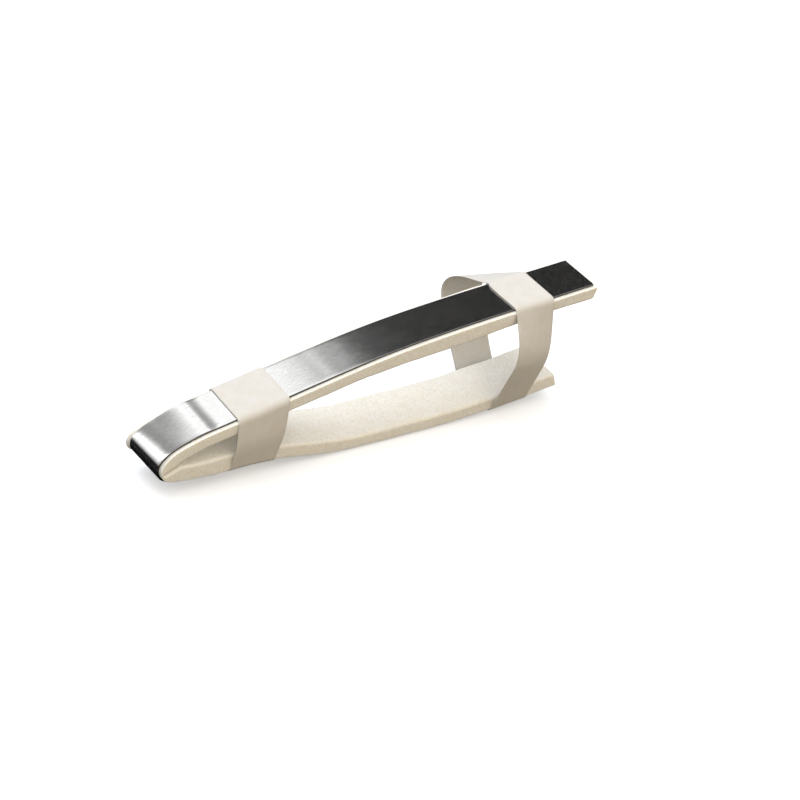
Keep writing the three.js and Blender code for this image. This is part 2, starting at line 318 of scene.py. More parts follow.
class StripPath:
    """The strip's outer face in its side view, as a chain of arcs and straight stretches."""

    def __init__(self, sizes):
        palm = [(part * sizes.palm_length, turn) for part, turn in PALM_BENDS.values()]
        nose = [(sizes.nose_radius * sizes.nose_turn, math.degrees(sizes.nose_turn))]
        back = [(part * sizes.back_length, turn) for part, turn in BACK_BENDS.values()]
        rows = np.array(palm + nose + back, float)
        self.lengths = rows[:, 0]
        self.turns = np.radians(rows[:, 1])
        self.runs = np.cumsum(self.lengths) - self.lengths
        self.length = float(self.lengths.sum())
        self.nose_start = float(self.runs[len(palm)])
        self.nose_end = float(self.runs[len(palm) + 1])
        self.palm_length = sizes.palm_length
        self.back_length = sizes.back_length
        rest = list(PALM_BENDS).index("rest")
        turned = np.cumsum(self.turns) - self.turns
        self.headings = math.pi + turned[rest] - turned
        chords = self.chord(np.arange(len(rows)), self.lengths)
        self.starts = np.cumsum(chords, axis=0) - chords
        middle = self.runs[rest] + self.lengths[rest] / 2
        self.starts = self.starts - self.stations([middle])[0][0]

    def chord(self, row, distance):
        """The straight way from a row's start to a point on it."""
        turned = self.turns[row] * distance / self.lengths[row]
        middle = self.headings[row] - turned / 2
        reach = distance * np.sinc(turned / (2 * np.pi))
        return np.stack([reach * np.cos(middle), reach * np.sin(middle)], axis=-1)

    def stations(self, runs):
        """Points on the outer face, the directions towards the hand and those along the run."""
        runs = np.asarray(runs, float)
        row = np.clip(np.searchsorted(self.runs, runs, side="right") - 1, 0, len(self.runs) - 1)
        distance = runs - self.runs[row]
        inside = np.clip(distance, 0, self.lengths[row])
        heading = self.headings[row] - self.turns[row] * inside / self.lengths[row]
        along = np.stack([np.cos(heading), np.sin(heading)], axis=-1)
        inward = np.stack([np.sin(heading), -np.cos(heading)], axis=-1)
        beyond = (distance - inside)[:, None]
        return self.starts[row] + self.chord(row, inside) + along * beyond, inward, along


def smooth(value):
    """Eases a share from 0 to 1."""
    value = np.clip(value, 0, 1)
    return value * value * (3 - 2 * value)


def fullness_at(rows, place):
    """A smooth curve through (place, fullness) rows."""
    places, values = (np.array(column, float) for column in zip(*rows))
    next_row = np.clip(np.searchsorted(places, place, side="right"), 1, len(places) - 1)
    before = next_row - 1
    step = smooth((place - places[before]) / (places[next_row] - places[before]))
    return values[before] + (values[next_row] - values[before]) * step


def rounded_outline(width, depth, outer_radius, inner_radius, corner_steps, face_steps, side_steps):
    """A rectangle with rounded corners as (across, deep) pairs, deep counted from its outer face."""
    outer = min(outer_radius, depth * LARGEST_CORNER)
    inner = min(inner_radius, depth * LARGEST_CORNER)
    half = width / 2
    corners = [
        (half - outer, outer, outer, -90), (half - inner, depth - inner, inner, 0),
        (inner - half, depth - inner, inner, 90), (outer - half, outer, outer, 180),
    ]
    arcs = []
    for across, deep, radius, start in corners:
        angles = np.radians(np.linspace(start, start + 90, corner_steps + 1))
        arc = [across + radius * np.cos(angles), deep + radius * np.sin(angles)]
        arcs.append(np.stack(arc, axis=1))
    pieces = []
    for number, arc in enumerate(arcs):
        following = arcs[(number + 1) % len(arcs)][0]
        steps = side_steps if number % 2 == 0 else face_steps
        shares = np.linspace(0, 1, steps + 2)[1:-1, None]
        pieces += [arc, arc[-1] + (following - arc[-1]) * shares]
    return np.concatenate(pieces)


def even_steps(start, end, step):
    """Evenly spaced values from start to end, about a step apart."""
    return np.linspace(start, end, max(2, round((end - start) / step) + 1))


def quarter_round(from_end, radius):
    """How far a rounded end draws a face in, by the distance from that end."""
    left = 1 - np.clip(from_end / radius, 0, 1)
    return radius * (1 - np.sqrt(1 - left ** 2))


def ripple(points, height, size, seed):
    """Smooth noise of a height at points, with features of about one size."""
    shifted = np.asarray(points) / size + seed * SEED_SHIFT
    values = [noise.noise(Vector(point)) for point in shifted.reshape(-1, 3)]
    return height * np.array(values).reshape(shifted.shape[:-1])


def add_object(name, data):
    """A new object in the scene."""
    added = bpy.data.objects.new(name, data)
    bpy.context.scene.collection.objects.link(added)
    return added


def mesh_from_rings(name, rings, places, cap_rings=0):
    """A closed smooth mesh through rings of points, capped at both ends. places are the
    (across, along) pairs in metres that textures lie on. cap_rings makes soft ends."""
    count, around = rings.shape[:2]
    if cap_rings:
        rings, places = soft_ends(rings, places, cap_rings)
        count = len(rings)
    ring, corner = np.meshgrid(np.arange(count - 1), np.arange(around), indexing="ij")
    after = (corner + 1) % around
    quads = np.stack(
        [ring * around + corner, ring * around + after,
         (ring + 1) * around + after, (ring + 1) * around + corner], axis=-1).reshape(-1, 4)
    points = rings.reshape(-1, 3)
    first = list(range(around))[::-1]
    last = list(range((count - 1) * around, count * around))
    a, b, c, d = (points[quads[:, column]] for column in range(4))
    volume = (a * np.cross(b, c)).sum() + (a * np.cross(c, d)).sum()
    faces = quads.tolist() + [first, last]
    if volume < 0:
        faces = [face[::-1] for face in faces]
    mesh = bpy.data.meshes.new(name)
    mesh.from_pydata(points.tolist(), [], faces)
    layer = mesh.uv_layers.new(name=PLACE_MAP)
    corners = np.empty(len(mesh.loops), int)
    mesh.loops.foreach_get("vertex_index", corners)
    layer.data.foreach_set("uv", places.reshape(-1, 2)[corners].astype(np.float32).ravel())
    rounded = np.ones(len(mesh.polygons), bool)
    rounded[-2:] = bool(cap_rings)
    mesh.polygons.foreach_set("use_smooth", rounded)
    mesh.update()
    return add_object(name, mesh)


def soft_ends(rings, places, steps):
    """Closes both ends with smaller and smaller copies of the end rings."""
    shares = np.linspace(1, 0, steps + 2)[1:-1]
    ends = []
    for ring in (rings[0], rings[-1]):
        middle = ring.mean(axis=0)
        ends.append([middle + (ring - middle) * part for part in shares])
    first, last = ends
    rings = np.concatenate([first[::-1], rings, last])
    places = np.concatenate([[places[0]] * steps, places, [places[-1]] * steps])
    return rings, places


def from_side_view(points, across):
    """Points in space from (x, z) pairs and distances across."""
    return np.stack([points[..., 0], across, points[..., 1]], axis=-1)


def bend_mark_height(path, runs):
    """How far the metal's faces are moved by the marks of bending it by hand."""
    height = np.zeros_like(runs)
    for place, reach, tip in BEND_MARKS:
        distance = (runs - path.nose_end - place) / reach
        height += math.radians(tip) * reach * distance * np.exp(-distance * distance)
    return height


def nose_swell(path, runs, across, width):
    """How far the faces stand out of the plain bend near the fingertip."""
    outward = np.zeros(np.broadcast(runs, across).shape)
    for place, reach, middle, tilt in NOSE_SWELLS:
        near = np.exp(-(((runs - path.nose_end - place) / reach) ** 2))
        outward += near * (middle + tilt * across / (width / 2))
    return outward


def make_strip(sizes):
    """The bent strip with its sheared edges."""
    path = StripPath(sizes)
    ease = sizes.outer_ease
    ends = METAL_END_RINGS * ease
    runs = np.concatenate([
        ends, even_steps(2 * ease, path.length - 2 * ease, STRIP_STEP), path.length - ends[::-1]])
    points, inward, _ = path.stations(runs)
    points = points - inward * bend_mark_height(path, runs)[:, None]
    insets = quarter_round(np.minimum(runs, path.length - runs), ease)
    rings, places = [], []
    for run, point, direction, inset in zip(runs, points, inward, insets):
        outline = rounded_outline(
            sizes.width - 2 * inset, sizes.thickness - inset, ease, sizes.inner_ease,
            corner_steps=4, face_steps=14, side_steps=3)
        across, deep = outline[:, 0], outline[:, 1] + inset / 2
        moved = deep - nose_swell(path, run, across, sizes.width)
        rings.append(from_side_view(point + direction * moved[:, None], across))
        wrapped = across + np.sign(across) * deep / 2
        places.append(np.stack([wrapped, np.full_like(across, run)], axis=1))
    return mesh_from_rings("strip_metal", np.array(rings), np.array(places))


# Shape of the foam

def foam_faces(path, strip, foam, runs):
    """The foam's face on the metal and its free skin, before the nose pinches it."""
    points, inward, along = path.stations(runs)
    seat = points + inward * (strip.thickness + foam.glue_gap)
    palm = fullness_at(PALM_FULLNESS, (path.nose_start - runs) / path.palm_length)
    back = fullness_at(BACK_FULLNESS, (runs - path.nose_end) / path.back_length)
    over_nose = (runs - path.nose_start) / (path.nose_end - path.nose_start)
    round_nose = PALM_FULLNESS[0][1] + (BACK_FULLNESS[0][1] - PALM_FULLNESS[0][1]) * over_nose
    full = np.where(over_nose < 0, palm, np.where(over_nose > 1, back, round_nose))
    return seat, seat + inward * (foam.thickness * full)[:, None], inward, along


class Crease:
    """The crease inside the nose, where the foam of both legs is squeezed together."""

    def __init__(self, path, strip, foam):
        self.middle = (path.nose_start + path.nose_end) / 2
        nose, inward, _ = path.stations([self.middle])
        swell = float(nose_swell(path, self.middle, 0, strip.width))
        depth = strip.thickness + foam.glue_gap + foam.crease_depth - swell
        self.bottom = nose[0] + inward[0] * depth
        reaches = np.arange((path.nose_end - path.nose_start) / 2, path.back_length / 2, CREASE_SEARCH)
        palm_seat, palm_skin, _, _ = foam_faces(path, strip, foam, self.middle - reaches)
        back_seat, back_skin, _, _ = foam_faces(path, strip, foam, self.middle + reaches)
        across = back_seat - palm_seat
        across = across / np.linalg.norm(across, axis=1)[:, None]
        parted = ((back_skin - palm_skin) * across).sum(axis=1) >= foam.crease_gap
        first = int(np.argmax(parted))
        self.reach = float(reaches[first])
        self.palm_lip = palm_skin[first]
        self.back_lip = back_skin[first]
        way = self.back_lip - self.palm_lip
        self.across = way / np.linalg.norm(way) * foam.crease_gap / 2

    def skin(self, run):
        """The skin's point in the crease at a run, or None outside it."""
        inside = (run - self.middle) / self.reach
        if abs(inside) >= 1:
            return None
        lip = self.palm_lip if inside < 0 else self.back_lip
        foot = self.bottom + self.across * math.sin(inside * math.pi / 2)
        return foot + (lip - foot) * inside * inside


def foam_margin_shift(path, strip, foam, run, across, deep):
    """How far each point of the foam's section moves outwards and sideways: round the nose
    the far margin flares and both bulge."""
    margin = (foam.width - strip.width) / 2
    beyond = smooth((np.abs(across) - strip.width / 2) / (MARGIN_EASE * margin))
    shallow = 1 - smooth(deep / (FLARE_DEPTH * foam.thickness))
    nose = (path.nose_start + path.nose_end) / 2
    near_nose = math.exp(-(((run - nose) / NOSE_REACH) ** 2))
    flare = np.where(across > 0, foam.far_flare, 0) * near_nose
    outward = beyond * shallow * flare + nose_swell(path, run, across, strip.width)
    sideways = np.sign(across) * beyond * foam.side_bulge * near_nose
    return outward, sideways


def make_foam(strip, foam):
    """The foam pad: soft margins, a crease inside the nose and cut ends that lean back."""
    path = StripPath(strip)
    crease = Crease(path, strip, foam)
    runs = even_steps(-foam.overhang, path.length + foam.overhang, FOAM_STEP)
    mouths = [crease.middle - crease.reach, crease.middle + crease.reach]
    runs = np.sort(np.concatenate([runs, runs[0] + FOAM_END_RINGS, runs[-1] - FOAM_END_RINGS, mouths]))
    seats, skins, inward, along = foam_faces(path, strip, foam, runs)
    rings, places = [], []
    for run, seat, skin, out, ahead in zip(runs, seats, skins, -inward, along):
        pinched = crease.skin(run)
        skin = skin if pinched is None else pinched
        depth = float(np.linalg.norm(skin - seat))
        down = (skin - seat) / depth
        from_end = min(run - runs[0], runs[-1] - run)
        outline = rounded_outline(
            foam.width - 2 * quarter_round(from_end, FOAM_END_EASE), depth,
            foam.outer_radius, foam.inner_radius, corner_steps=4, face_steps=30, side_steps=7)
        across, deep = outline[:, 0], outline[:, 1]
        outward, sideways = foam_margin_shift(path, strip, foam, run, across, deep)
        side_view = seat + down * deep[:, None] + out * outward[:, None]
        toward_end = 1 if run > path.length / 2 else -1
        lean = foam.end_slant * (1 - smooth(from_end / SLANT_REACH)) * toward_end
        side_view = side_view - ahead * (lean * (deep / depth) ** SLANT_POWER)[:, None]
        rings.append(from_side_view(side_view, across + sideways))
        places.append(np.stack([across, np.full_like(across, run)], axis=1))
    rings = roughen_foam(np.array(rings), strip.width / 2)
    return mesh_from_rings("foam_lining", rings, np.array(places), cap_rings=3)


def roughen_foam(rings, metal_half):
    """Gives the foam's free faces the unevenness of soft cut foam."""
    around = np.roll(rings, -1, axis=1) - np.roll(rings, 1, axis=1)
    along = np.gradient(rings, axis=0)
    outward = np.cross(around, along)
    outward = outward / np.maximum(np.linalg.norm(outward, axis=2), SHORTEST_NORMAL)[..., None]
    height = ripple(rings, *FOAM_LUMPS) + ripple(rings, *FOAM_PITS)
    free = smooth((np.abs(rings[..., 1]) - metal_half) / MM)
    numbers = np.arange(rings.shape[1])
    half = rings.shape[1] // 2
    on_skin = (np.abs(numbers - half * SKIN_MIDDLE) < half * SKIN_REACH)[None, :]
    return rings + outward * (height * np.where(on_skin, 1, free))[..., None]


# Shape of the tape bands

class Band(NamedTuple):
    """One band of tape: where it crosses the two legs, as shares of their lengths from the
    nose, how wide its crossing of the palm leg is next to the tape, and the halves of the
    oval that it is wrapped round."""
    name: str
    node: str
    width: float
    back_place: float
    palm_place: float
    palm_share: float
    near: tuple
    far: tuple


class HalfOval(NamedTuple):
    """One side's half of the oval that a band is wrapped round. Its middle lies a share of
    the way down between the legs, given for the tape's two edges."""
    bulge: float
    arm_share: float
    height: float
    drops: tuple

    def at(self, half, armward):
        """Reach, half height and drop for a place across the tape."""
        reach = half + self.bulge * (1 + (self.arm_share - 1) * armward)
        finger_drop, arm_drop = self.drops
        return reach, self.height / 2, finger_drop + (arm_drop - finger_drop) * armward


def taut_loop(straps, band, half, height, armward, angles):
    """The loop that the tape takes, as points for the directions in which it faces: the hull of
    the padded legs, a rounded rectangle, and the oval of what lies between them."""
    normal = np.stack([np.cos(angles), np.sin(angles)], axis=1)
    radius = straps.corner_radius
    corner = np.stack([
        np.sign(normal[:, 0]) * (half - radius),
        np.where(normal[:, 1] > 0, -radius, radius - height)], axis=1) + normal * radius
    reach, rise, drop = np.where(
        (normal[:, 0] > 0)[:, None], band.far.at(half, armward), band.near.at(half, armward)).T
    size = np.hypot(reach * normal[:, 0], rise * normal[:, 1])
    oval = np.stack([
        reach ** 2 * normal[:, 0] / size,
        rise ** 2 * normal[:, 1] / size - height * drop], axis=1)
    free = (oval * normal).sum(axis=1) > (corner * normal).sum(axis=1)
    return np.where(free[:, None], oval, corner), normal, free


def resample(loop, values, shares):
    """Values given at a loop's points, read at shares of the way along it."""
    steps = np.linalg.norm(np.diff(loop, axis=0), axis=1)
    travelled = np.concatenate([[0], np.cumsum(steps)])
    places = shares * travelled[-1]
    return np.stack([np.interp(places, travelled, column) for column in values.T], axis=1)


def crossings(path, straps, band, columns):
    """For each column of the tape: its place on the back leg, the direction there from the
    palm leg to the back leg, and how far apart they lie."""
    back_runs = path.nose_end + band.back_place * path.back_length + columns * band.width
    palm_runs = (path.nose_start - band.palm_place * path.palm_length
                 - columns * band.width * band.palm_share)
    back, back_inward, _ = path.stations(back_runs)
    palm, palm_inward, _ = path.stations(palm_runs)
    tops = back - back_inward * straps.seat_gap
    ways = tops - (palm - palm_inward * straps.seat_gap)
    heights = np.linalg.norm(ways, axis=1)
    return tops, ways / heights[:, None], heights


def make_band(strip, foam, straps, band):
    """A strip of tape wrapped once round, with its end lapped over its start on the far side."""
    half = foam.width / 2 + straps.seat_gap
    columns = even_steps(-0.5, 0.5, TAPE_COLUMN / band.width)
    angles = np.linspace(LAP_ANGLE, LAP_ANGLE + 2 * math.pi, LOOP_STEPS + 1)
    tops, ups, heights = crossings(StripPath(strip), straps, band, columns)
    middle_loop = taut_loop(straps, band, half, float(heights.mean()), 0.5, angles)[0]
    once_round = float(np.linalg.norm(np.diff(middle_loop, axis=0), axis=1).sum())
    total = once_round + straps.lap_length
    travelled = even_steps(0, total, TAPE_STEP)
    faces, normals, slack = [], [], []
    for column, top, up, height in zip(columns, tops, ups, heights):
        loop, normal, free = taut_loop(straps, band, half, float(height), column + 0.5, angles)
        values = np.concatenate([loop, normal, free[:, None].astype(float)], axis=1)
        read = resample(loop, values, (travelled % once_round) / once_round)
        facing = read[:, 2:4] / np.linalg.norm(read[:, 2:4], axis=1)[:, None]
        faces.append(from_side_view(top + up * read[:, 1:2], read[:, 0]))
        normals.append(from_side_view(up * facing[:, 1:2], facing[:, 0]))
        slack.append(read[:, 4])
    faces, normals, slack = (np.stack(values, axis=1) for values in (faces, normals, slack))
    faces = soften_turns(faces, slack, travelled)
    across = np.gradient(faces, axis=1)
    across = across / np.linalg.norm(across, axis=2)[..., None]
    climb = smooth((travelled - once_round + LAP_CLIMB) / LAP_CLIMB)
    faces = faces + normals * (climb * (straps.thickness + LAP_GAP))[:, None, None]
    faces = loosen_band(faces, normals, across, slack, columns, band)
    column, height, inset = tape_section(columns, straps.thickness)
    rings = faces[:, column] + normals[:, column] * height[:, None] - across[:, column] * inset[:, None]
    width_place, run = np.meshgrid(columns[column] * band.width - inset, travelled)
    return mesh_from_rings(band.name, rings, np.stack([width_place, run], axis=-1)), total


def tape_section(columns, thickness):
    """The tape's section: for each point its column, its height and how far it is set in."""
    last = len(columns) - 1
    inner = [(number, 0, 0) for number in range(1, last)]
    outer = [(number, thickness, 0) for number in range(last - 1, 0, -1)]
    far_rim = [(last, thickness * rise, inset) for rise, inset in TAPE_RIM]
    near_rim = [(0, thickness * rise, -inset) for rise, inset in TAPE_RIM[::-1]]
    rows = inner + far_rim + outer + near_rim
    column, height, inset = (np.array(values) for values in zip(*rows))
    return column, height.astype(float), inset.astype(float)


def soften_turns(faces, slack, travelled):
    """Rounds the loop where the tape spans free and leaves it sharp over the foam's corners."""
    step = travelled[1] - travelled[0]
    reach = round(TURN_SOFTENING / step)
    weights = np.hanning(2 * reach + 1)
    weights = weights / weights.sum()

    def average(values):
        padded = np.concatenate([values[:1]] * reach + [values] + [values[-1:]] * reach)
        return sum(weight * padded[place:place + len(values)] for place, weight in enumerate(weights))

    share = smooth((average(slack) - FIRM_BELOW) / FIRM_TO_FREE)[..., None]
    return faces + (average(faces) - faces) * share


def pressed_marks(band, faces, columns):
    """The small things that handling left in the wrist's tape: its edge is caught at the far
    corner of the foam, and thin creases run along its near side."""
    creases = np.zeros(faces.shape[:2])
    if band.name != "wrist_tape":
        return creases, creases
    y, z = faces[..., 1], faces[..., 2]
    on_top = smooth((z - CAUGHT_TOP) / CAUGHT_EASE)
    caught = np.exp(-(((y - CAUGHT_PLACE) / CAUGHT_WIDTH) ** 2)) * on_top
    inward = CAUGHT_DEPTH * caught * smooth(CAUGHT_SLOPE * (CAUGHT_COLUMN - columns))
    span = np.exp(-(((z - CREASE_MIDDLE) / CREASE_REACH) ** 2)) * (y < 0)
    for place, drift, height in CREASE_LINES:
        line = place + drift * (z - CREASE_START) / CREASE_DRIFT
        creases += height * span * np.exp(-(((columns - line) / CREASE_WIDTH) ** 2))
    return inward, creases


def loosen_band(faces, normals, across, slack, columns, band):
    """Wavy edges, and soft wrinkles where the tape spans free."""
    inward, creases = pressed_marks(band, faces, columns)
    waves = ripple(faces, *TAPE_WAVES) * (2 * np.abs(columns)) ** 3
    wrinkles = slack * (TAPE_WRINKLES[0] / 2 + ripple(faces * WRINKLE_STRETCH, *TAPE_WRINKLES))
    dimples = TAPE_DIMPLES[0] + ripple(faces, *TAPE_DIMPLES)
    raised = wrinkles + dimples + creases
    return faces + across * (waves + inward)[..., None] + normals * raised[..., None]


# Node helpers

def set_inputs(tree, node, inputs):
    """Sets a node's plain values and links those that come from other nodes."""
    for name, value in inputs.items():
        if isinstance(value, bpy.types.NodeSocket):
            tree.links.new(value, node.inputs[name])
        else:
            node.inputs[name].default_value = value


def add_node(tree, kind, settings=None, inputs=None):
    """A shader node with its settings, its values and what is linked into it."""
    node = tree.nodes.new(kind)
    for name, value in (settings or {}).items():
        setattr(node, name, value)
    set_inputs(tree, node, inputs or {})
    return node


def scaled(tree, place, per_metre, shift=(0, 0, 0)):
    """Texture places with so many features a metre along each axis."""
    return add_node(tree, "ShaderNodeMapping", None, {
        "Vector": place, "Scale": per_metre, "Location": shift}).outputs["Vector"]


def noise_value(tree, place, per_metre, detail, rough, shift=(0, 0, 0)):
    """Soft noise from 0 to 1 with so many features a metre along each axis."""
    return add_node(tree, "ShaderNodeTexNoise", None, {
        "Vector": scaled(tree, place, per_metre, shift), "Scale": 1,
        "Detail": detail, "Roughness": rough}).outputs["Fac"]


def remap(tree, value, low, high, to_low=0, to_high=1):
    """A value moved from one range to another."""
    return add_node(tree, "ShaderNodeMapRange", {"clamp": True}, {
        "Value": value, "From Min": low, "From Max": high,
        "To Min": to_low, "To Max": to_high}).outputs["Result"]


def combine(tree, operation, first, second):
    """Two values joined by one sum."""
    return add_node(tree, "ShaderNodeMath", {"operation": operation}, {0: first, 1: second}).outputs[0]


def weighted(tree, value, weight):
    """A value times a weight."""
    return combine(tree, "MULTIPLY", value, weight)


def mix_colours(tree, amount, first, second):
    """One colour turning into another."""
    return add_node(tree, "ShaderNodeMix", {"data_type": "RGBA"}, {
        0: amount, 6: first, 7: second}).outputs[2]


def opaque(values):
    """A colour with its alpha."""
    return (*values, 1)


def new_material(name):
    """An empty node material with its shader."""
    material = bpy.data.materials.new(name)
    material.use_nodes = True
    tree = material.node_tree
    tree.nodes.clear()
    shader = add_node(tree, "ShaderNodeBsdfPrincipled")
    add_node(tree, "ShaderNodeOutputMaterial", None, {"Surface": shader.outputs["BSDF"]})
    return material, tree, shader


def set_bump(tree, shader, height, strength, distance):
    """Fine relief from a height."""
    bump = add_node(tree, "ShaderNodeBump", None, {
        "Height": height, "Strength": strength, "Distance": distance})
    set_inputs(tree, shader, {"Normal": bump.outputs["Normal"]})


# Materials

def brushed_aluminium(finishes, half_width):
    """Aluminium brushed along the strip, with fine grain, a few stray scratches, a little dust and
    sheared side faces painted near-black as shade."""
    material, tree, shader = new_material("brushed_aluminium")
    place = add_node(tree, "ShaderNodeUVMap", {"uv_map": PLACE_MAP}).outputs["UV"]
    lines = noise_value(tree, place, per_metre=(4000, 320, 1), detail=2, rough=0.6)
    broad_lines = noise_value(tree, place, per_metre=(2000, 230, 1), detail=2, rough=0.5)
    grain = noise_value(tree, place, per_metre=(2300, 1700, 1), detail=2, rough=0.6)
    stray = noise_value(tree, place, per_metre=(1900, 300, 1), detail=1, rough=0.5, shift=(3, 5, 0))
    patches = noise_value(tree, place, per_metre=(160, 90, 1), detail=2, rough=0.5)
    brushing = combine(tree, "ADD", weighted(tree, lines, 0.6), weighted(tree, broad_lines, 0.4))
    tone = remap(tree, brushing, low=0.3, high=0.62)
    specks = combine(tree, "ADD", remap(tree, grain, low=0.5, high=0.72),
                     remap(tree, stray, low=0.68, high=0.76, to_high=0.8))
    across = add_node(tree, "ShaderNodeSeparateXYZ", None, {"Vector": place}).outputs["X"]
    # Mask of the metal's side faces, which take painted shade in place of their own colour
    sheared = remap(tree, combine(tree, "ABSOLUTE", across, 0),
                    low=half_width - 0.03 * MM, high=half_width + 0.06 * MM)
    colour_node = mix_colours(tree, tone, opaque(finishes.metal_groove), opaque(finishes.metal))
    colour_node = mix_colours(tree, sheared, colour_node, opaque(finishes.metal_edge_shade))
    base = finishes.metal_roughness
    rough = remap(tree, patches, low=0.3, high=0.7, to_low=base - 0.02, to_high=base + 0.03)
    rough = combine(tree, "ADD", rough, weighted(tree, specks, 0.08))
    dust = noise_value(tree, place, per_metre=(1500, 1000, 1), detail=1, rough=0.5, shift=(1, 2, 0))
    tangent = add_node(tree, "ShaderNodeTangent", {"direction_type": "UV_MAP", "uv_map": PLACE_MAP})
    set_inputs(tree, shader, {
        "Base Color": colour_node,
        "Roughness": rough,
        "Metallic": remap(tree, dust, low=0.52, high=0.7, to_low=1, to_high=0.93),
        "Anisotropic": 1,
        "Tangent": tangent.outputs["Tangent"],
    })
    relief = combine(tree, "ADD", weighted(tree, grain, 0.35), brushing)
    set_bump(tree, shader, relief, strength=0.12, distance=0.02 * MM)
    return material


def cream_foam(finishes):
    """Soft open-cell foam with fine pores darkened with painted shade, and a random mottling of tone.
    """
    material, tree, shader = new_material("cream_foam")
    place = add_node(tree, "ShaderNodeTexCoord").outputs["Object"]
    pores = add_node(tree, "ShaderNodeTexVoronoi", {"feature": "SMOOTH_F1"}, {
        "Vector": place, "Scale": 1100, "Smoothness": 0.5}).outputs["Distance"]
    fine = noise_value(tree, place, per_metre=(2400, 2400, 2400), detail=2, rough=0.6)
    mottle = noise_value(tree, place, per_metre=(220, 220, 220), detail=3, rough=0.6)
    pits = remap(tree, combine(tree, "ADD", pores, weighted(tree, fine, 0.35)), low=0.35, high=0.85)
    # Painted shade in the pores, plus a random mottling of tone
    shade = combine(tree, "ADD", weighted(tree, pits, 0.4),
                    remap(tree, mottle, low=0.35, high=0.75, to_high=0.16))
    colour_node = mix_colours(tree, shade, opaque(finishes.foam), opaque(finishes.foam_pore_shade))
    set_inputs(tree, shader, {
        "Base Color": colour_node,
        "Roughness": remap(tree, mottle, low=0.2, high=0.8, to_low=0.86, to_high=0.97),
        "Specular IOR Level": 0.2,
        "Sheen Weight": 0.15,
        "Sheen Roughness": 0.5,
        "Subsurface Weight": 0.25,
        "Subsurface Radius": (1, 0.8, 0.55),
        "Subsurface Scale": 2 * MM,
    })
    relief = combine(tree, "SUBTRACT", mottle, weighted(tree, pits, 0.5))
    set_bump(tree, shader, relief, strength=0.35, distance=0.25 * MM)
    return material


def cloth_tape(finishes):
    """Plain woven tape with a soft nap, with painted shade between the threads."""
    material, tree, shader = new_material("cloth_tape")
    place = add_node(tree, "ShaderNodeUVMap", {"uv_map": PLACE_MAP}).outputs["UV"]
    threads = []
    for direction in ("X", "Y"):
        threads.append(add_node(tree, "ShaderNodeTexWave", {
            "wave_type": "BANDS", "bands_direction": direction, "wave_profile": "SIN"}, {
            "Vector": scaled(tree, place, per_metre=(1000, 1000, 1)), "Scale": 0.75,
            "Distortion": 0.8, "Detail": 1, "Detail Scale": 0.4}).outputs["Fac"])
    weave = combine(tree, "MULTIPLY", *threads)
    nap = noise_value(tree, place, per_metre=(3800, 2200, 1), detail=3, rough=0.65)
    slubs = noise_value(tree, place, per_metre=(900, 120, 1), detail=2, rough=0.5)
    mottle = noise_value(tree, place, per_metre=(180, 180, 1), detail=3, rough=0.6)
    # The weave's gaps take painted shade; nap and mottling add random tone
    shade = combine(tree, "ADD", remap(tree, weave, low=0, high=0.7, to_low=0.42, to_high=0.05),
                    remap(tree, nap, low=0.3, high=0.7, to_high=0.25))
    shade = combine(tree, "ADD", shade, remap(tree, mottle, low=0.35, high=0.7, to_high=0.3))
    colour_node = mix_colours(tree, shade, opaque(finishes.tape), opaque(finishes.tape_shade))
    set_inputs(tree, shader, {
        "Base Color": colour_node,
        "Roughness": remap(tree, nap, low=0.2, high=0.8, to_low=0.8, to_high=0.96),
        "Specular IOR Level": 0.25,
        "Sheen Weight": 0.3,
        "Sheen Roughness": 0.4,
    })
    rough_threads = weighted(tree, combine(tree, "ADD", nap, slubs), 0.6)
    relief = combine(tree, "ADD", weave, rough_threads)
    set_bump(tree, shader, relief, strength=0.4, distance=0.12 * MM)
    return material


def plain_floor(finishes):
    """A matt pale floor that glows a little: painted light that lifts the shadows on it."""
    material, tree, shader = new_material("plain_floor")
    place = add_node(tree, "ShaderNodeTexCoord").outputs["Object"]
    soft = noise_value(tree, place, per_metre=(3, 3, 3), detail=1, rough=0.5)
    pale = tuple(value * FLOOR_MOTTLE for value in finishes.floor)
    set_inputs(tree, shader, {
        "Base Color": mix_colours(tree, soft, opaque(finishes.floor), opaque(pale)),
        "Roughness": 0.9,
        "Specular IOR Level": 0.1,
        # The glow is painted light that lifts the floor's shadows; the floor is no lamp
        "Emission Color": WHITE,
        "Emission Strength": 0.35,
    })
    return material


# Operators

def dress(piece, material, node):
    """Gives a piece its finish and sets it in place of its plain solid."""
    piece.data.materials.append(material)
    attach(piece, "root")
    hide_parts(node)


class SPLINT_OT_strip(bpy.types.Operator):
    """Makes the bent aluminium strip"""
    bl_idname = "splint.make_strip"
    bl_label = "Aluminium strip"

    def execute(self, context):
        scene = context.scene
        piece = make_strip(scene.splint_strip)
        material = brushed_aluminium(scene.splint_finishes, scene.splint_strip.width / 2)
        dress(piece, material, "aluminium_strip")
        return {"FINISHED"}


class SPLINT_OT_foam(bpy.types.Operator):
    """Makes the foam pad that lines the strip"""
    bl_idname = "splint.make_foam"
    bl_label = "Foam pad"

    def execute(self, context):
        scene = context.scene
        piece = make_foam(scene.splint_strip, scene.splint_foam)
        dress(piece, cream_foam(scene.splint_finishes), "foam_pad")
        return {"FINISHED"}


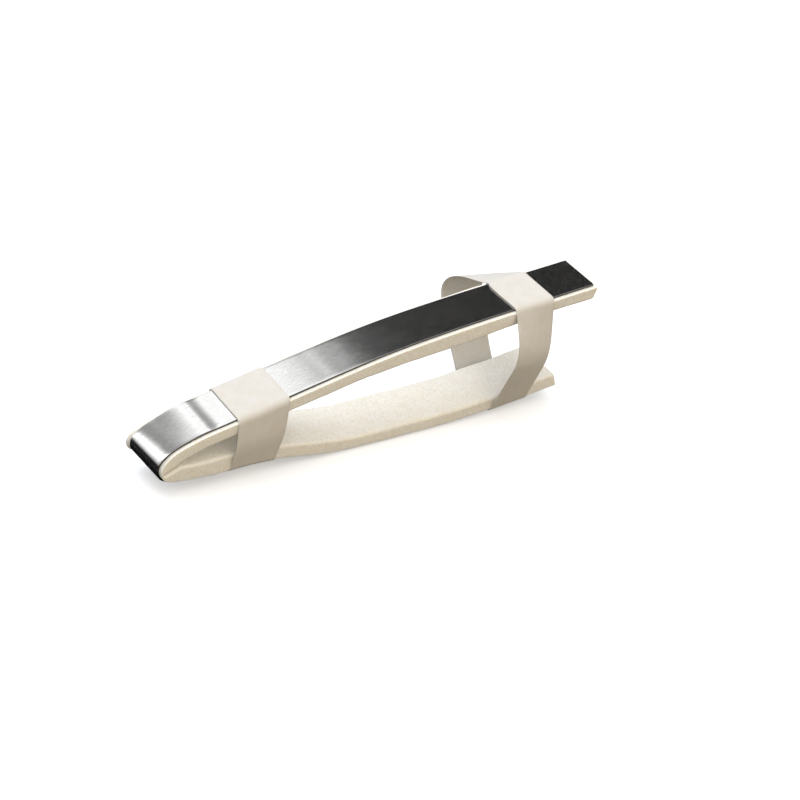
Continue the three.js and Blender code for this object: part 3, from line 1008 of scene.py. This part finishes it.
class SPLINT_OT_straps(bpy.types.Operator):
    """Wraps the two bands of cloth tape"""
    bl_idname = "splint.wrap_straps"
    bl_label = "Tape bands"

    def execute(self, context):
        scene = context.scene
        straps = scene.splint_straps
        material = cloth_tape(scene.splint_finishes)
        finger_side = HalfOval(
            straps.finger_bulge, arm_share=1, height=straps.finger_oval, drops=(0.5, 0.5))
        near_wrist = HalfOval(
            straps.wrist_near_bulge, arm_share=0.67, height=straps.wrist_near_oval, drops=(0.395, 0.48))
        far_wrist = HalfOval(
            straps.wrist_far_bulge, arm_share=0.84, height=straps.wrist_far_oval, drops=(0.35, 0.4))
        bands = [
            Band("finger_tape", "finger_strap", straps.finger_width, back_place=0.22,
                 palm_place=0.193, palm_share=0.9, near=finger_side, far=finger_side),
            Band("wrist_tape", "wrist_strap", straps.wrist_width, back_place=0.845,
                 palm_place=0.87, palm_share=0.97, near=near_wrist, far=far_wrist),
        ]
        for band in bands:
            piece, cut_length = make_band(scene.splint_strip, scene.splint_foam, straps, band)
            dress(piece, material, band.node)
        return {"FINISHED"}


class SPLINT_OT_stage(bpy.types.Operator):
    """Sets the floor, the lights and the camera"""
    bl_idname = "splint.set_stage"
    bl_label = "Studio"

    def execute(self, context):
        scene = context.scene
        stage = scene.splint_stage
        lay_floor(stage, scene.splint_finishes)
        hang_key_lamp(stage)
        hang_tent()
        place_camera(stage)
        scene.view_settings.view_transform = "Standard"
        return {"FINISHED"}


def lay_floor(stage, finishes):
    """The pale floor. It sends no light up: pieces see the dark of the studio there."""
    half = stage.floor_size / 2
    mesh = bpy.data.meshes.new("floor")
    corners = [(-half, -half), (half, -half), (half, half), (-half, half)]
    mesh.from_pydata([(x, y, -FLOOR_GAP) for x, y in corners], [], [(0, 1, 2, 3)])
    floor = add_object("floor", mesh)
    floor.data.materials.append(plain_floor(finishes))
    floor.visible_glossy = False
    floor.visible_diffuse = False


def hang_key_lamp(stage):
    """The large soft lamp over the far side, which the metal doesn't mirror."""
    lamp = bpy.data.lights.new("key", "AREA")
    lamp.shape = "RECTANGLE"
    lamp.size = KEY_WIDTH
    lamp.size_y = KEY_DEPTH
    lamp.energy = stage.key_power
    key = add_object("key", lamp)
    key.location = KEY_PLACE
    key.rotation_mode = "QUATERNION"
    key.rotation_quaternion = (-key.location).to_track_quat("-Z", "Y")
    key.visible_glossy = False


def hang_tent():
    """The light all round: a tent with bright and dark panels for the metal to mirror, a soft
    sky for everything else and a white backdrop for the camera."""
    world = bpy.data.worlds.new("studio")
    bpy.context.scene.world = world
    world.use_nodes = True
    tree = world.node_tree
    tree.nodes.clear()
    direction = add_node(tree, "ShaderNodeTexCoord").outputs["Generated"]
    split = add_node(tree, "ShaderNodeSeparateXYZ", None, {"Vector": direction})
    along, across, height = split.outputs
    panels = add_node(tree, "ShaderNodeValToRGB", None, {"Fac": remap(tree, along, low=-1, high=1)})
    set_ramp(panels.color_ramp, TENT_PANELS)
    above = remap(tree, height, low=-0.17, high=0.12, to_low=0.01)
    room = remap(tree, height, low=0, high=1, to_low=0.08, to_high=0.39)
    opposite = remap(tree, across, low=-0.35, high=0)
    tent = mix_colours(tree, opposite, room, panels.outputs["Color"])
    seen_in_metal = combine(tree, "MULTIPLY", tent, above)
    sky = mix_colours(tree, remap(tree, across, low=-0.9, high=0.1), WARM_SKY, COOL_SKY)
    fill = mix_colours(tree, remap(tree, height, low=-0.15, high=0.15), DIM_GROUND, sky)
    rays = add_node(tree, "ShaderNodeLightPath")
    reflected = add_node(tree, "ShaderNodeBackground", None, {
        "Color": seen_in_metal, "Strength": TENT_STRENGTH})
    filling = add_node(tree, "ShaderNodeBackground", None, {"Color": fill, "Strength": 1})
    backdrop = add_node(tree, "ShaderNodeBackground", None, {"Color": WHITE, "Strength": 1})
    lighting = add_node(tree, "ShaderNodeMixShader", None, {
        0: rays.outputs["Is Glossy Ray"], 1: filling.outputs[0], 2: reflected.outputs[0]})
    whole = add_node(tree, "ShaderNodeMixShader", None, {
        0: rays.outputs["Is Camera Ray"], 1: lighting.outputs[0], 2: backdrop.outputs[0]})
    add_node(tree, "ShaderNodeOutputWorld", None, {"Surface": whole.outputs[0]})


def set_ramp(ramp, rows):
    """Fills a colour ramp with grey steps given for -1 to 1."""
    while len(ramp.elements) < len(rows):
        ramp.elements.new(0.5)
    for element, (place, brightness) in zip(ramp.elements, rows):
        element.position = (place + 1) / 2
        element.color = (brightness, brightness, brightness, 1)


def place_camera(stage):
    """The camera at the photograph's angle."""
    lens = bpy.data.cameras.new("camera")
    lens.lens = stage.focal_length
    lens.sensor_width = SENSOR_WIDTH
    lens.clip_start = NEAREST_SEEN
    lens.clip_end = FARTHEST_SEEN
    camera = add_object("camera", lens)
    camera.location = stage.camera_place
    camera.rotation_euler = Euler(stage.camera_turn)
    bpy.context.scene.camera = camera


class SPLINT_PT_panel(bpy.types.Panel):
    """Lists the splint's pieces and their sizes"""
    bl_label = "Finger splint"
    bl_idname = "SPLINT_PT_panel"
    bl_space_type = "VIEW_3D"
    bl_region_type = "UI"
    bl_category = "Splint"

    def draw(self, context):
        layout = self.layout
        for operator in OPERATORS:
            layout.operator(operator.bl_idname)
        for name, (title, group) in SETTINGS.items():
            box = layout.box()
            box.label(text=title)
            values = getattr(context.scene, name)
            for key in group.__annotations__:
                box.prop(values, key)


OPERATORS = (SPLINT_OT_strip, SPLINT_OT_foam, SPLINT_OT_straps, SPLINT_OT_stage)
SETTINGS = {
    "splint_strip": ("Strip", StripSizes),
    "splint_foam": ("Foam", FoamSizes),
    "splint_straps": ("Straps", StrapSizes),
    "splint_finishes": ("Finishes", Finishes),
    "splint_stage": ("Stage", StageSettings),
}


def register():
    """Adds the settings, the operators and the panel to Blender."""
    for name, (_, group) in SETTINGS.items():
        bpy.utils.register_class(group)
        setattr(bpy.types.Scene, name, bpy.props.PointerProperty(type=group))
    for made in (*OPERATORS, SPLINT_PT_panel):
        bpy.utils.register_class(made)


def unregister():
    """Takes them out again."""
    for made in (SPLINT_PT_panel, *reversed(OPERATORS)):
        bpy.utils.unregister_class(made)
    for name, (_, group) in reversed(SETTINGS.items()):
        delattr(bpy.types.Scene, name)
        bpy.utils.unregister_class(group)


def main():
    """Makes every piece and the stage."""
    register()
    bpy.ops.splint.set_stage()
    bpy.ops.splint.make_strip()
    bpy.ops.splint.make_foam()
    bpy.ops.splint.wrap_straps()


if __name__ == "__main__":
    main()
